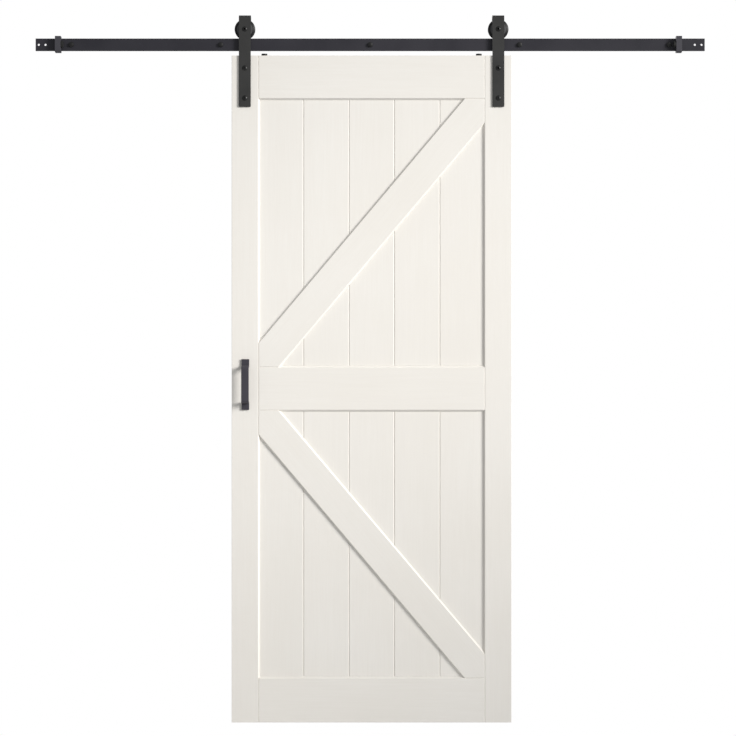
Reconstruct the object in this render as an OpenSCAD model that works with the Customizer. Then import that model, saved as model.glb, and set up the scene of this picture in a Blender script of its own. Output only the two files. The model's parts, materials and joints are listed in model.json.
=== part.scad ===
// A sliding barn door on its rail.
//
// Frame: +X to the right, +Y into the wall, +Z up, all in millimetres. The origin lies on the face
// of the wall, on the axis of the middle wall bolt, so the rail's middle is at x = 0 and z = 0.
// The door hangs on two bent straps, each with a grooved wheel that rolls on the rail's top edge.

/* [Door slab] */
// Width of the door slab
door_w = 895; // [740:5:1100]
// Height of the door slab
door_h = 2134; // [1770:2:2570]
// Thickness of the door slab
door_t = 35; // [33:1:42]
// Sideways shift of the door from the middle of the rail
door_shift = 4.5; // [-100:0.5:100]
// Gap between the rail's lower edge and the top of the door
top_gap = 15.5; // [11:0.5:22]

/* [Door frame] */
// Face width of the two stiles
stile_w = 84; // [76:1:110]
// Face height of the top rail
top_rail_h = 136; // [110:0.5:180]
// Face height of the middle rail
middle_rail_h = 135; // [110:0.5:180]
// Face height of the bottom rail
bottom_rail_h = 140.5; // [110:0.5:180]
// Distance from the top of the door down to the middle rail
middle_rail_drop = 998.5; // [800:0.5:1200]
// Depth of the panels below the faces of the frame
recess = 8; // [6:0.5:9]
// Width of the bevel along the frame's inner edges
frame_bevel = 6; // [4:0.5:9]
// Width of the groove that holds the panels
groove_w = 12; // [9:0.5:14]
// Depth of the groove that holds the panels
groove_d = 8.5; // [6:0.5:12]
// Small chamfer on the slab's outer edges
arris = 0.8; // [0.3:0.1:1.5]
// Small chamfer on the ends of the rails and braces, along the frame's joints
joint_vee = 1.7; // [0.3:0.1:2]
// Gap that is left in every glued joint
joint_gap = 0.1; // [0.05:0.05:0.3]

/* [Frame dowels] */
// Radius of a dowel
dowel_r = 5; // [4:0.5:6]
// Length of a dowel, half of it in the stile
dowel_l = 60; // [40:2:64]
// Distance between the two dowels of a joint
dowel_pitch = 68; // [50:1:80]
// How much deeper a blind hole or groove is than what it holds
blind_gap = 0.5; // [0.2:0.1:0.9]

/* [Boards and braces] */
// Width of the small chamfer on a board's long edges
board_vee = 2.2; // [1:0.1:3]
// Thickness of the tongue between two boards
board_tongue_w = 6; // [4:0.5:8]
// Length of the tongue between two boards
board_tongue_l = 6; // [4:0.5:8]
// Face width of the diagonal braces
brace_w = 96; // [70:1:130]
// Width of the bevel along a brace's long edges
brace_bevel = 5; // [3:0.5:9]

/* [Rail] */
// Length of the rail
rail_l = 2143; // [1780:1:2600]
// Height of the rail
rail_h = 40; // [36:1:50]
// Thickness of the rail
rail_t = 6; // [5:0.5:8]
// Chamfer on the rail's long edges
rail_edge = 0.6; // [0.3:0.1:1]
// Distance from the rail's end to its first wall bolt
end_bolt_inset = 114.5; // [110:0.5:200]
// Distance from the rail's end to the outer spare hole
spare_hole_inset = 10; // [8:0.5:14]
// Distance between the two spare holes
spare_hole_pitch = 21.5; // [18:0.5:26]
// Radius of the spare holes
spare_hole_r = 3.5; // [2.5:0.25:4.5]

/* [Wall fixings] */
// Length of a spacer, which sets the rail off the wall
spacer_l = 30; // [26:1:45]
// Outer radius of a spacer
spacer_r = 11; // [9:0.5:13]
// Chamfer on a spacer's two outer edges
spacer_edge = 0.6; // [0.3:0.1:1]
// Radius of a lag bolt's thread
lag_r = 4; // [3.5:0.25:4.5]
// Radius of a lag bolt's plain shank
lag_shank_r = 3.6; // [3:0.1:4]
// Length of thread in the wall, without the point
lag_thread_l = 40; // [30:1:80]
// Length of a lag bolt's point
lag_point_l = 7; // [4:1:10]
// Width across the flats of a lag bolt's head
lag_head_af = 13; // [11:0.5:14]
// Height of a lag bolt's head
lag_head_h = 5.5; // [4:0.25:5.5]
// Width of the bevel on a lag bolt's head, inside its flats
lag_head_edge = 0.2; // [0:0.1:0.6]
// Outer radius of the washer under the head
washer_r = 8.5; // [7:0.25:9.5]
// Thickness of the washer under the head
washer_t = 1.5; // [1:0.25:1.5]
// Radius of a bolt hole above that of the bolt it takes
bolt_clear = 0.4; // [0.2:0.1:0.6]

/* [End stops] */
// Distance from the rail's left end to the middle of the left stop
left_stop_inset = 73.1; // [60:0.1:90]
// Distance from the rail's right end to the middle of the right stop
right_stop_inset = 83.9; // [60:0.1:90]
// Width of a stop along the rail
stop_w = 18; // [18:0.5:24]
// Wall of a stop above and below the rail
stop_wall = 5.9; // [5:0.1:8]
// Wall of a stop behind the rail
stop_back_wall = 4; // [3:0.5:6]
// Chamfer on a stop's long edges
stop_edge = 3; // [1:0.5:4]
// Clearance between a stop's window and the rail
stop_clear = 0.2; // [0.1:0.05:0.4]
// Radius of the set screws that clamp a stop
set_screw_r = 2.5; // [2:0.5:3]
// Distance between the two set screws of a stop
set_screw_pitch = 10; // [8:0.5:11]
// Depth of the socket in a set screw
set_socket_d = 2.5; // [1.5:0.5:4]
// Radius of a rubber bumper
bumper_r = 10.5; // [8:0.5:10.5]
// How far a bumper stands out of its stop
bumper_l = 8; // [8:0.5:14]
// Radius of the edge rounding on a bumper
bumper_round = 1.5; // [0.5:0.5:3]
// Radius of the bumper's spigot
spigot_r = 4; // [3:0.5:5]
// Length of the bumper's spigot
spigot_l = 10; // [6:1:12]

/* [Hangers] */
// Width of a strap
strap_w = 38; // [34:1:44]
// Thickness of a strap
strap_t = 5; // [4:0.5:6]
// Outer radius of the two bends over the wheel
strap_bend_r = 10; // [8:0.5:12]
// Gap between the wheel and the top of its strap
strap_head_gap = 6.4; // [4:0.1:12]
// How far a strap reaches down the face of the door
strap_drop = 164.5; // [150:0.5:240]
// How far a strap reaches below its axle behind the rail
strap_back_drop = 18; // [12:0.5:18]
// Chamfer on the corners at a strap's lower end
strap_corner = 1.5; // [0.5:0.5:4]
// Distance from the top of the door to the upper hanger bolt
upper_bolt_drop = 40.5; // [30:0.5:60]
// Distance between the two hanger bolts
hanger_bolt_pitch = 96; // [60:1:110]
// Radius of a hanger bolt
hanger_bolt_r = 4; // [3:0.5:5]
// Length of a hanger bolt below its head
hanger_bolt_l = 34; // [30:1:36]
// Outer radius of a barrel nut
barrel_r = 6; // [5.5:0.5:7]
// Length of a barrel nut in the door
barrel_l = 22; // [16:1:26]
// Radius of a barrel nut's head
barrel_head_r = 9; // [8:0.5:10]
// Height of a barrel nut's head
barrel_head_h = 2.5; // [1.5:0.5:3]
// Depth of the socket in a barrel nut
barrel_socket_d = 4; // [3:0.5:6]
// Radius of the domed heads on the hanger bolts
dome_r = 8.4; // [7:0.2:10]
// Height of the domed heads on the hanger bolts
dome_h = 4.4; // [3:0.2:5.4]
// Width across the flats of the sockets in the domed heads
socket_af = 6; // [4:0.5:7]
// Depth of the sockets in the domed heads
socket_d = 2.6; // [1.5:0.1:3]

/* [Wheels and axles] */
// Radius of a wheel over its flanges
wheel_r = 33; // [32:0.5:36]
// Radius of a wheel at the bottom of its groove
tread_r = 28.6; // [27.6:0.1:29]
// Width of a wheel
wheel_w = 20; // [18:0.5:22]
// Gap between a wheel and its strap on each side
wheel_side_gap = 2; // [1.5:0.25:3]
// Gap between a wheel's groove and the rail's top edge
tread_gap = 0.3; // [0.3:0.05:0.6]
// Gap on each side of the rail at the bottom of the groove
groove_side_gap = 0.6; // [0.4:0.1:1]
// How much wider each side of the groove gets at the flange's tip
groove_flare = 1; // [0.5:0.1:1.5]
// Thickness of a flange at its tip
flange_tip = 1.9; // [1.5:0.1:2.4]
// Radius where a wheel's flat side ends and its bevelled rim begins
wheel_face_r = 24.5; // [22:0.5:26]
// Radius of an axle
axle_r = 5; // [4:0.5:5]
// Length of an axle behind its nut
axle_end = 2; // [1:0.5:3]
// Width across the flats of an axle nut
axle_nut_af = 17; // [15:0.5:17]
// Height of an axle nut
axle_nut_h = 6; // [5:0.5:8]
// Wall of the sleeves beside a bearing
sleeve_wall = 1.5; // [1:0.1:1.8]

/* [Bearings] */
// Pitch radius of the balls
ball_pitch_r = 9; // [8.8:0.1:9.2]
// Radius of a ball
ball_r = 2.3; // [2:0.1:2.3]
// Outer radius of the inner ring
inner_land_r = 7.4; // [7:0.1:7.6]
// Inner radius of the outer ring
outer_land_r = 10.6; // [10.4:0.1:11]
// Gap between a ball and its raceways
ball_gap = 0.1; // [0.05:0.01:0.1]
// Number of balls in a bearing
balls = 7; // [6:1:7]
// Wall of the ball cage on each side of the balls' pitch circle
cage_wall = 0.7; // [0.5:0.1:0.8]
// How much further the cage reaches than the balls, to the front and the back
cage_edge = 0.3; // [0.2:0.1:0.5]
// Thickness of a shield
shield_t = 0.4; // [0.3:0.1:0.5]
// Gap between a shield and the inner ring
shield_gap = 0.4; // [0.2:0.1:0.6]
// Radius of the wheel's bore in front of the bearing
shoulder_r = 11; // [11:0.5:12]
// Thickness of the retaining ring behind the bearing
clip_t = 1; // [0.8:0.1:1.2]
// How far the retaining ring sits in its groove
clip_bite = 0.7; // [0.5:0.1:1]
// Width of the retaining ring
clip_w = 2; // [1.5:0.1:2.5]
// Opening of the retaining ring
clip_open = 6; // [3:1:9]

/* [Anti-jump disks] */
// Distance from the middle of a hanger to its disk
disk_inboard = 62; // [56:1:90]
// Radius of a disk
disk_r = 9.5; // [8:0.5:11]
// Thickness of a disk
disk_t = 6.5; // [5:0.5:8]
// Radius of a disk's screw
disk_screw_r = 2.5; // [2:0.25:3]
// Length of a disk's screw
disk_screw_l = 28; // [20:1:30]
// Depth of the sockets in the disks' screws and the handle's screws
small_socket_d = 1.8; // [1:0.1:2.4]

/* [Pull handle] */
// Distance from the top of the door to the middle of the handle
handle_drop = 1052.5; // [900:0.5:1200]
// Distance from the door's left edge to the middle of the handle
handle_inset = 44; // [34:0.5:50]
// Length of the handle over its feet
handle_l = 162; // [140:2:260]
// Width of the handle's bar
handle_w = 24; // [18:1:30]
// Thickness of the handle's bar
handle_t = 6; // [4:0.5:6]
// Inner radius of the handle's bends
handle_bend_r = 4; // [2:0.5:6]
// Length of a foot over its bend
handle_foot = 21; // [20:0.5:30]
// How far the grip's face stands off the door
handle_out = 40; // [34:1:60]
// Radius of a handle screw
handle_screw_r = 2.5; // [2:0.25:3]
// Distance from a foot's end to its screw
handle_screw_inset = 9; // [7:0.5:12]
// Steel left in front of a handle screw's end
handle_skin = 1.5; // [1:0.5:2]

/* [Hidden] */
$fn = 48;
over = 1; // how far a cut runs past the face it opens
merge = 0.5; // how far two shapes of one piece run into each other
wall_bolts = 5;
boards = 5;
fit = 0.02; // radial fit of a bearing on its axle and in its wheel

// the wall fixings and the rail
rail_y = -(spacer_l + rail_t / 2);
rail_front = rail_y - rail_t / 2;
rail_top = rail_h / 2;
bolt_pitch = (rail_l - 2 * end_bolt_inset) / (wall_bolts - 1);
bolt_hole_r = lag_r + bolt_clear;

// the wheels, which ride on the rail, and their straps
axle_z = rail_top + tread_gap + tread_r;
strap_back = rail_y - wheel_w / 2 - wheel_side_gap;
strap_front = strap_back - strap_t;
rear_leg_front = rail_y + wheel_w / 2 + wheel_side_gap;
rear_leg_back = rear_leg_front + strap_t;
strap_top = axle_z + wheel_r + strap_head_gap + strap_t;

// the door slab
door_front = strap_back;
door_back = door_front + door_t;
door_mid = (door_front + door_back) / 2;
door_top = -rail_h / 2 - top_gap;
door_bottom = door_top - door_h;
panel_front = door_front + recess;
panel_back = door_back - recess;
hanger_x = door_w / 2 - stile_w / 2;
opening_x = door_w / 2 - stile_w;
handle_x = door_shift - door_w / 2 + handle_inset;
tongue_w = groove_w - 2 * joint_gap;
tongue_l = groove_d - blind_gap;
board_pitch = 2 * opening_x / boards;
upper_z = [door_top - middle_rail_drop, door_top - top_rail_h];
lower_z = [door_bottom + bottom_rail_h, upper_z[0] - middle_rail_h];

// the stops, whose bumpers meet the straps' edges
stop_front = strap_front + strap_t / 2 - bumper_r;
stop_back = rail_y + rail_t / 2 + stop_back_wall;
stop_z = rail_top + stop_wall + stop_clear;

// the bearings, of the standard size for a 10 mm axle
bearing_r = 13;
bearing_w = 8;
clip_out_r = bearing_r + clip_bite;

SIDES = ["left", "right"];
function side_x(i) = door_shift + (i == 0 ? -hanger_x : hanger_x);

// ---- shapes that repeat ----

// a section drawn in Y and Z, run along X about x = 0
module run_x(l) {
    translate([-l / 2, 0, 0]) rotate([90, 0, 90]) linear_extrude(l) children();
}

// an outline drawn in X and Z, run along +Y from y = 0
module run_y(l) {
    translate([0, l, 0]) rotate([90, 0, 0]) linear_extrude(l) children();
}

// a round bar or a hexagon along +Y, from y on
module bar_y(r, l, y) {
    translate([0, y, 0]) rotate([-90, 0, 0]) cylinder(r = r, h = l);
}

module hex_y(af, l, y) {
    translate([0, y, 0]) rotate([-90, 30, 0]) cylinder(r = af / 2 / cos(30), h = l, $fn = 6);
}

// a ring turned about the Y axis from a profile of [radius, y] points
module turned_y(profile) {
    rotate([-90, 0, 0]) rotate_extrude($fn = 96) polygon(profile);
}

// a quarter of a bent strip, about an axis along X: the corner that lies towards sy and sz
module strip_bend(w, t, inner, sy, sz) {
    outer = inner + t;
    intersection() {
        rotate([0, 90, 0]) difference() {
            cylinder(r = outer, h = w, center = true);
            cylinder(r = inner, h = w + 2 * over, center = true);
        }
        translate([-w, sy < 0 ? -outer - over : 0, sz < 0 ? -outer - over : 0])
            cube([2 * w, outer + over, outer + over]);
    }
}

// a box given by its lowest and highest corners
module block(a, b) {
    translate(a) cube(b - a);
}

module at_hangers() {
    for (i = [0, 1]) translate([side_x(i), 0, 0]) children();
}

module at_wall_bolts() {
    for (i = [1:wall_bolts]) translate([bolt_x(i), 0, 0]) children();
}

function bolt_x(i) = (i - (wall_bolts + 1) / 2) * bolt_pitch;

// ---- the track ----

function chamfered(a, b, c) = [
    [a[0] + c, a[1]], [b[0] - c, a[1]], [b[0], a[1] + c], [b[0], b[1] - c],
    [b[0] - c, b[1]], [a[0] + c, b[1]], [a[0], b[1] - c], [a[0], a[1] + c]
];

module track_rail() {
    color([0.22, 0.22, 0.24]) difference() {
        run_x(rail_l)
            polygon(chamfered([rail_front, -rail_top], [rail_front + rail_t, rail_top], rail_edge));
        at_wall_bolts() bar_y(bolt_hole_r, rail_t + 2 * over, rail_front - over);
        for (side = [-1, 1], n = [0, 1])
            translate([side * (rail_l / 2 - spare_hole_inset - n * spare_hole_pitch), 0, 0])
                bar_y(spare_hole_r, rail_t + 2 * over, rail_front - over);
    }
}

module spacer(i) {
    color([0.24, 0.24, 0.25]) translate([bolt_x(i), 0, 0])
        turned_y([
            [bolt_hole_r, -spacer_l], [spacer_r - spacer_edge, -spacer_l],
            [spacer_r, -spacer_l + spacer_edge], [spacer_r, -spacer_edge],
            [spacer_r - spacer_edge, 0], [bolt_hole_r, 0]
        ]);
}

module lag_washers() {
    color([0.2, 0.2, 0.21]) at_wall_bolts() difference() {
        bar_y(washer_r, washer_t, rail_front - washer_t);
        bar_y(bolt_hole_r, washer_t + 2 * over, rail_front - washer_t - over);
    }
}

// hexagon head, plain shank through the rail and the spacer, then thread and point in the wall
module lag_bolts() {
    head_y = rail_front - washer_t - lag_head_h;
    corner_r = lag_head_af / 2 / cos(30);
    flat_r = lag_head_af / 2 - lag_head_edge;
    seat_y = head_y + lag_head_h;
    color([0.17, 0.17, 0.18]) at_wall_bolts() union() {
        intersection() {
            hex_y(lag_head_af, lag_head_h, head_y);
            turned_y([
                [0, head_y], [flat_r, head_y], [corner_r, head_y + (corner_r - flat_r) * tan(30)],
                [corner_r + over, head_y + (corner_r - flat_r) * tan(30)],
                [corner_r + over, seat_y], [0, seat_y]
            ]);
        }
        bar_y(lag_shank_r, merge - seat_y, seat_y - merge);
        bar_y(lag_r, lag_thread_l, 0);
        translate([0, lag_thread_l, 0]) rotate([-90, 0, 0])
            cylinder(r1 = lag_r, r2 = lag_r / 10, h = lag_point_l);
    }
}

// the middle of a stop, and of its bumper's face
function stop_x(i) = i == 0 ? -rail_l / 2 + left_stop_inset : rail_l / 2 - right_stop_inset;
function inward(i) = i == 0 ? 1 : -1;

module stop(i) {
    window = [rail_t / 2 + stop_clear, rail_top + stop_clear];
    color([0.3, 0.3, 0.32]) translate([stop_x(i), 0, 0]) difference() {
        run_x(stop_w) polygon(chamfered([stop_front, -stop_z], [stop_back, stop_z], stop_edge));
        block([-stop_w, rail_y - window[0], -window[1]], [stop_w, rail_y + window[0], window[1]]);
        for (n = [-1, 1]) translate([n * set_screw_pitch / 2, rail_y, -stop_z - over])
            cylinder(r = set_screw_r + joint_gap, h = stop_wall + 2 * over);
        translate([inward(i) * (stop_w / 2 - spigot_l - blind_gap), stop_front + bumper_r, 0])
            rotate([0, 90 * inward(i), 0])
                cylinder(r = spigot_r + joint_gap, h = spigot_l + over + blind_gap);
    }
}

module bumper(i) {
    color([0.08, 0.08, 0.08])
        translate([stop_x(i) + inward(i) * stop_w / 2, stop_front + bumper_r, 0])
            rotate([0, 90 * inward(i), 0]) union() {
                translate([0, 0, -spigot_l]) cylinder(r = spigot_r, h = spigot_l + over);
                cylinder(r = bumper_r, h = bumper_l - bumper_round);
                cylinder(r = bumper_r - bumper_round, h = bumper_l);
                translate([0, 0, bumper_l - bumper_round]) rotate_extrude()
                    translate([bumper_r - bumper_round, 0]) circle(r = bumper_round);
            }
}

module stop_set_screws() {
    color([0.14, 0.14, 0.14]) for (i = [0, 1], n = [-1, 1])
        translate([stop_x(i) + n * set_screw_pitch / 2, rail_y, -stop_z]) difference() {
            cylinder(r = set_screw_r, h = stop_wall + stop_clear);
            translate([0, 0, -over]) cylinder(r = set_screw_r / 2, h = set_socket_d + over, $fn = 6);
        }
}

// ---- the door slab ----

// The profile of the frame's inner edges, from front to back, as [y, place] points: a bevel, the
// groove for the panels, and the same bevel behind. The opening lies towards dir from edge.
function edge_profile(edge, dir) = [
    [door_front, edge],
    [panel_front, edge + dir * frame_bevel],
    [door_mid - groove_w / 2, edge + dir * frame_bevel],
    [door_mid - groove_w / 2, edge + dir * (frame_bevel - groove_d)],
    [door_mid + groove_w / 2, edge + dir * (frame_bevel - groove_d)],
    [door_mid + groove_w / 2, edge + dir * frame_bevel],
    [panel_back, edge + dir * frame_bevel],
    [door_back, edge]
];

// A plain outer edge with its small chamfers, the body lying towards dir from edge
function outer_edge(edge, dir) = [
    [door_front, edge + dir * arris],
    [door_front + arris, edge],
    [door_back - arris, edge],
    [door_back, edge + dir * arris]
];

// The tongue that fits the groove, on a piece which ends near edge, its body towards dir
function tongue_profile(edge, dir) = [
    [door_mid - tongue_w / 2, edge + dir * (frame_bevel + joint_gap)],
    [door_mid - tongue_w / 2, edge + dir * (frame_bevel - tongue_l)],
    [door_mid + tongue_w / 2, edge + dir * (frame_bevel - tongue_l)],
    [door_mid + tongue_w / 2, edge + dir * (frame_bevel + joint_gap)]
];

// The end of a rail, cut to fit over the bevels of a stile's edge, with a small chamfer at the face
function coped_end(edge, dir) = concat(
    [
        [door_front, edge + dir * (joint_gap + 2 * joint_vee)],
        [door_front + joint_vee, edge + dir * (joint_gap + frame_bevel * joint_vee / recess)],
        [panel_front, edge + dir * (joint_gap + frame_bevel)]
    ],
    tongue_profile(edge, dir),
    [
        [panel_back, edge + dir * (joint_gap + frame_bevel)],
        [door_back - joint_vee, edge + dir * (joint_gap + frame_bevel * joint_vee / recess)],
        [door_back, edge + dir * (joint_gap + 2 * joint_vee)]
    ]
);

// The end of a panel board, square over its thickness but for the tongue
function board_end(edge, dir) = concat(
    [[panel_front, edge + dir * (frame_bevel + joint_gap)]],
    tongue_profile(edge, dir),
    [[panel_back, edge + dir * (frame_bevel + joint_gap)]]
);

function reversed(list) = [for (i = [len(list) - 1:-1:0]) list[i]];
function swapped(list) = [for (p = list) [p[1], p[0]]];
function closed(a, b) = concat(a, reversed(b));

// the two dowels of each joint between a stile and a rail that spans low to high
function dowel_zs(low, high) = [(low + high - dowel_pitch) / 2, (low + high + dowel_pitch) / 2];
RAIL_SPANS = [[upper_z[1], door_top], [lower_z[1], upper_z[0]], [door_bottom, lower_z[0]]];
DOWEL_ZS = [for (s = RAIL_SPANS, z = dowel_zs(s[0], s[1])) z];

module dowel_rods(r, l) {
    for (side = [-1, 1], z = DOWEL_ZS)
        translate([side * opening_x - l / 2, door_mid, z]) rotate([0, 90, 0]) cylinder(r = r, h = l);
}

function hanger_bolt_zs() = [for (n = [0, 1]) door_top - upper_bolt_drop - n * hanger_bolt_pitch];
function handle_screw_zs() = [
    for (n = [-1, 1]) door_top - handle_drop + n * (handle_l / 2 - handle_screw_inset)
];

// the left stile about the middle of the door; the right one is its mirror image
module stile_body() {
    difference() {
        translate([0, 0, door_bottom]) linear_extrude(door_h)
            polygon(swapped(closed(outer_edge(-door_w / 2, 1), edge_profile(-opening_x, 1))));
        for (z = hanger_bolt_zs()) translate([-hanger_x, 0, z])
            bar_y(barrel_r + bolt_clear, door_t + 2 * over, door_front - over);
        dowel_rods(dowel_r + joint_gap, dowel_l + 2 * blind_gap);
    }
}

module handle_screw(extra) {
    tip = door_front - handle_t + handle_skin - extra;
    bar_y(handle_screw_r + extra, door_back - tip, tip);
    translate([0, door_back - handle_screw_r, 0]) rotate([-90, 0, 0])
        cylinder(r1 = handle_screw_r + extra, r2 = 2 * handle_screw_r + extra, h = handle_screw_r);
}

module at_handle_screws() {
    for (z = handle_screw_zs()) translate([handle_x, 0, z]) children();
}

module left_stile() {
    color([0.92, 0.9, 0.86]) difference() {
        translate([door_shift, 0, 0]) stile_body();
        at_handle_screws() handle_screw(joint_gap);
    }
}

module right_stile() {
    color([0.92, 0.9, 0.86]) translate([door_shift, 0, 0]) mirror([1, 0, 0]) stile_body();
}

// a rail of the frame between the stiles, its section from the lower edge to the upper one
module cross_rail(lower_edge, upper_edge, low, high) {
    color([0.93, 0.91, 0.87]) translate([door_shift, 0, 0]) difference() {
        intersection() {
            run_x(door_w) polygon(closed(lower_edge, upper_edge));
            translate([0, 0, low - 2 * frame_bevel]) linear_extrude(high - low + 4 * frame_bevel)
                polygon(swapped(closed(coped_end(-opening_x, 1), coped_end(opening_x, -1))));
        }
        dowel_rods(dowel_r + joint_gap, dowel_l + 2 * blind_gap);
        if (high == door_top) {
            for (side = [-1, 1]) translate([side * (hanger_x - disk_inboard), rail_y, 0])
                disk_screw(joint_gap);
        }
    }
}

module top_rail() {
    cross_rail(edge_profile(upper_z[1], -1), outer_edge(door_top, -1), upper_z[1], door_top);
}

module middle_rail() {
    cross_rail(edge_profile(lower_z[1], -1), edge_profile(upper_z[0], 1), lower_z[1], upper_z[0]);
}

module bottom_rail() {
    cross_rail(outer_edge(door_bottom, 1), edge_profile(lower_z[0], 1), door_bottom, lower_z[0]);
}

module frame_dowels() {
    color([0.76, 0.62, 0.42]) translate([door_shift, 0, 0]) dowel_rods(dowel_r, dowel_l);
}

// the two kinds of joint between boards, from front to back
function board_tongue_edge(x) = [
    [panel_front, x - board_vee],
    [panel_front + board_vee, x],
    [door_mid - board_tongue_w / 2, x],
    [door_mid - board_tongue_w / 2, x + board_tongue_l],
    [door_mid + board_tongue_w / 2, x + board_tongue_l],
    [door_mid + board_tongue_w / 2, x],
    [panel_back - board_vee, x],
    [panel_back, x - board_vee]
];
function board_groove_edge(x) = [
    [panel_front, x + board_vee],
    [panel_front + board_vee, x],
    [door_mid - board_tongue_w / 2 - joint_gap, x],
    [door_mid - board_tongue_w / 2 - joint_gap, x + board_tongue_l + blind_gap],
    [door_mid + board_tongue_w / 2 + joint_gap, x + board_tongue_l + blind_gap],
    [door_mid + board_tongue_w / 2 + joint_gap, x],
    [panel_back - board_vee, x],
    [panel_back, x + board_vee]
];

// board i of a panel that fills the opening from z[0] to z[1]
module board(i, z) {
    left = -opening_x + (i - 1) * board_pitch;
    right = left + board_pitch;
    left_edge = i == 1 ? board_end(-opening_x, 1) : board_groove_edge(left + joint_gap / 2);
    right_edge = i == boards ? board_end(opening_x, -1) : board_tongue_edge(right - joint_gap / 2);
    color([0.95, 0.93, 0.9]) translate([door_shift, 0, 0]) intersection() {
        translate([0, 0, z[0] - frame_bevel]) linear_extrude(z[1] - z[0] + 2 * frame_bevel)
            polygon(swapped(closed(left_edge, right_edge)));
        run_x(door_w) polygon(closed(board_end(z[0], 1), board_end(z[1], -1)));
    }
}

// the outline of what fills an opening in front of the panel, fitted to the frame's bevels
function face_plug(low, high) = closed(
    [for (p = [0:2]) coped_end(low, 1)[p]],
    [for (p = [0:2]) coped_end(high, -1)[p]]
);

// a diagonal brace from corner to corner of the opening z, rising to the right if rise is 1
module brace(z, rise) {
    height = z[1] - z[0];
    angle = atan(height / (2 * opening_x));
    color([0.93, 0.91, 0.87]) translate([door_shift, 0, 0]) intersection() {
        translate([0, 0, (z[0] + z[1]) / 2]) rotate([0, -rise * angle, 0]) run_x(2 * opening_x + height)
            polygon([
                [door_front, -brace_w / 2], [panel_front, -brace_w / 2 - brace_bevel],
                [panel_front, brace_w / 2 + brace_bevel], [door_front, brace_w / 2]
            ]);
        translate([0, 0, z[0]]) linear_extrude(height) polygon(swapped(face_plug(-opening_x, opening_x)));
        run_x(door_w) polygon(face_plug(z[0], z[1]));
    }
}

// ---- the hangers ----

// one strap, up the face of the door, over the wheel, and down behind it to the axle's other end
module hanger(i) {
    inner = strap_bend_r - strap_t;
    bend_z = strap_top - strap_bend_r;
    low = door_top - strap_drop;
    color([0.25, 0.25, 0.25]) translate([side_x(i), 0, 0]) difference() {
        union() {
            translate([0, strap_front, 0]) run_y(strap_t) polygon([
                [-strap_w / 2, bend_z], [-strap_w / 2, low + strap_corner],
                [-strap_w / 2 + strap_corner, low], [strap_w / 2 - strap_corner, low],
                [strap_w / 2, low + strap_corner], [strap_w / 2, bend_z]
            ]);
            translate([0, strap_front + strap_bend_r, bend_z]) strip_bend(strap_w, strap_t, inner, -1, 1);
            block(
                [-strap_w / 2, strap_front + strap_bend_r, strap_top - strap_t],
                [strap_w / 2, rear_leg_back - strap_bend_r, strap_top]
            );
            translate([0, rear_leg_back - strap_bend_r, bend_z]) strip_bend(strap_w, strap_t, inner, 1, 1);
            block(
                [-strap_w / 2, rear_leg_front, axle_z - strap_back_drop],
                [strap_w / 2, rear_leg_back, bend_z]
            );
        }
        translate([0, 0, axle_z])
            bar_y(axle_r + bolt_clear, rear_leg_back - strap_front + 2 * over, strap_front - over);
        for (z = hanger_bolt_zs()) translate([0, 0, z])
            bar_y(hanger_bolt_r + bolt_clear, strap_t + 2 * over, strap_front - over);
    }
}

// a low domed head with a hexagon socket, seated on the strap's front and standing out of it
module dome_head(r, h) {
    ball = (r * r + h * h) / (2 * h);
    difference() {
        intersection() {
            translate([0, strap_front - h + ball, 0]) sphere(r = ball, $fn = 96);
            bar_y(r + over, h, strap_front - h);
        }
        hex_y(socket_af, socket_d + over, strap_front - h - over);
    }
}

module hanger_bolts() {
    color([0.15, 0.15, 0.15]) at_hangers() for (z = hanger_bolt_zs()) translate([0, 0, z]) union() {
        dome_head(dome_r, dome_h);
        bar_y(hanger_bolt_r, hanger_bolt_l + merge, strap_front - merge);
    }
}

module hanger_barrel_nuts() {
    color([0.2, 0.2, 0.2]) at_hangers() for (z = hanger_bolt_zs()) translate([0, 0, z]) difference() {
        union() {
            bar_y(barrel_r, barrel_l + over, door_back - barrel_l);
            bar_y(barrel_head_r, barrel_head_h, door_back);
        }
        bar_y(hanger_bolt_r + joint_gap, barrel_l + over, door_back - barrel_l - over);
        hex_y(socket_af + 2, barrel_socket_d + over, door_back + barrel_head_h - barrel_socket_d);
    }
}

module axle_bolt(i) {
    color([0.15, 0.15, 0.15]) translate([side_x(i), 0, axle_z]) union() {
        dome_head(dome_r, dome_h);
        bar_y(axle_r, rear_leg_back + axle_nut_h + axle_end - strap_front + merge, strap_front - merge);
    }
}

module axle_nuts() {
    color([0.18, 0.18, 0.18]) at_hangers() translate([0, 0, axle_z]) difference() {
        hex_y(axle_nut_af, axle_nut_h, rear_leg_back);
        bar_y(axle_r + fit, axle_nut_h + 2 * over, rear_leg_back - over);
    }
}

// the sleeves hold the bearing in the middle of the strap
module axle_sleeves() {
    l = wheel_w / 2 + wheel_side_gap - bearing_w / 2;
    color([0.3, 0.3, 0.3]) at_hangers() for (y = [strap_back, rear_leg_front - l])
        translate([0, 0, axle_z]) difference() {
            bar_y(axle_r + sleeve_wall, l, y);
            bar_y(axle_r + joint_gap, l + 2 * over, y - over);
        }
}

// ---- the wheels and their bearings, each turned about its axle ----

module at_axle(i) {
    translate([side_x(i), rail_y, axle_z]) children();
}

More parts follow.
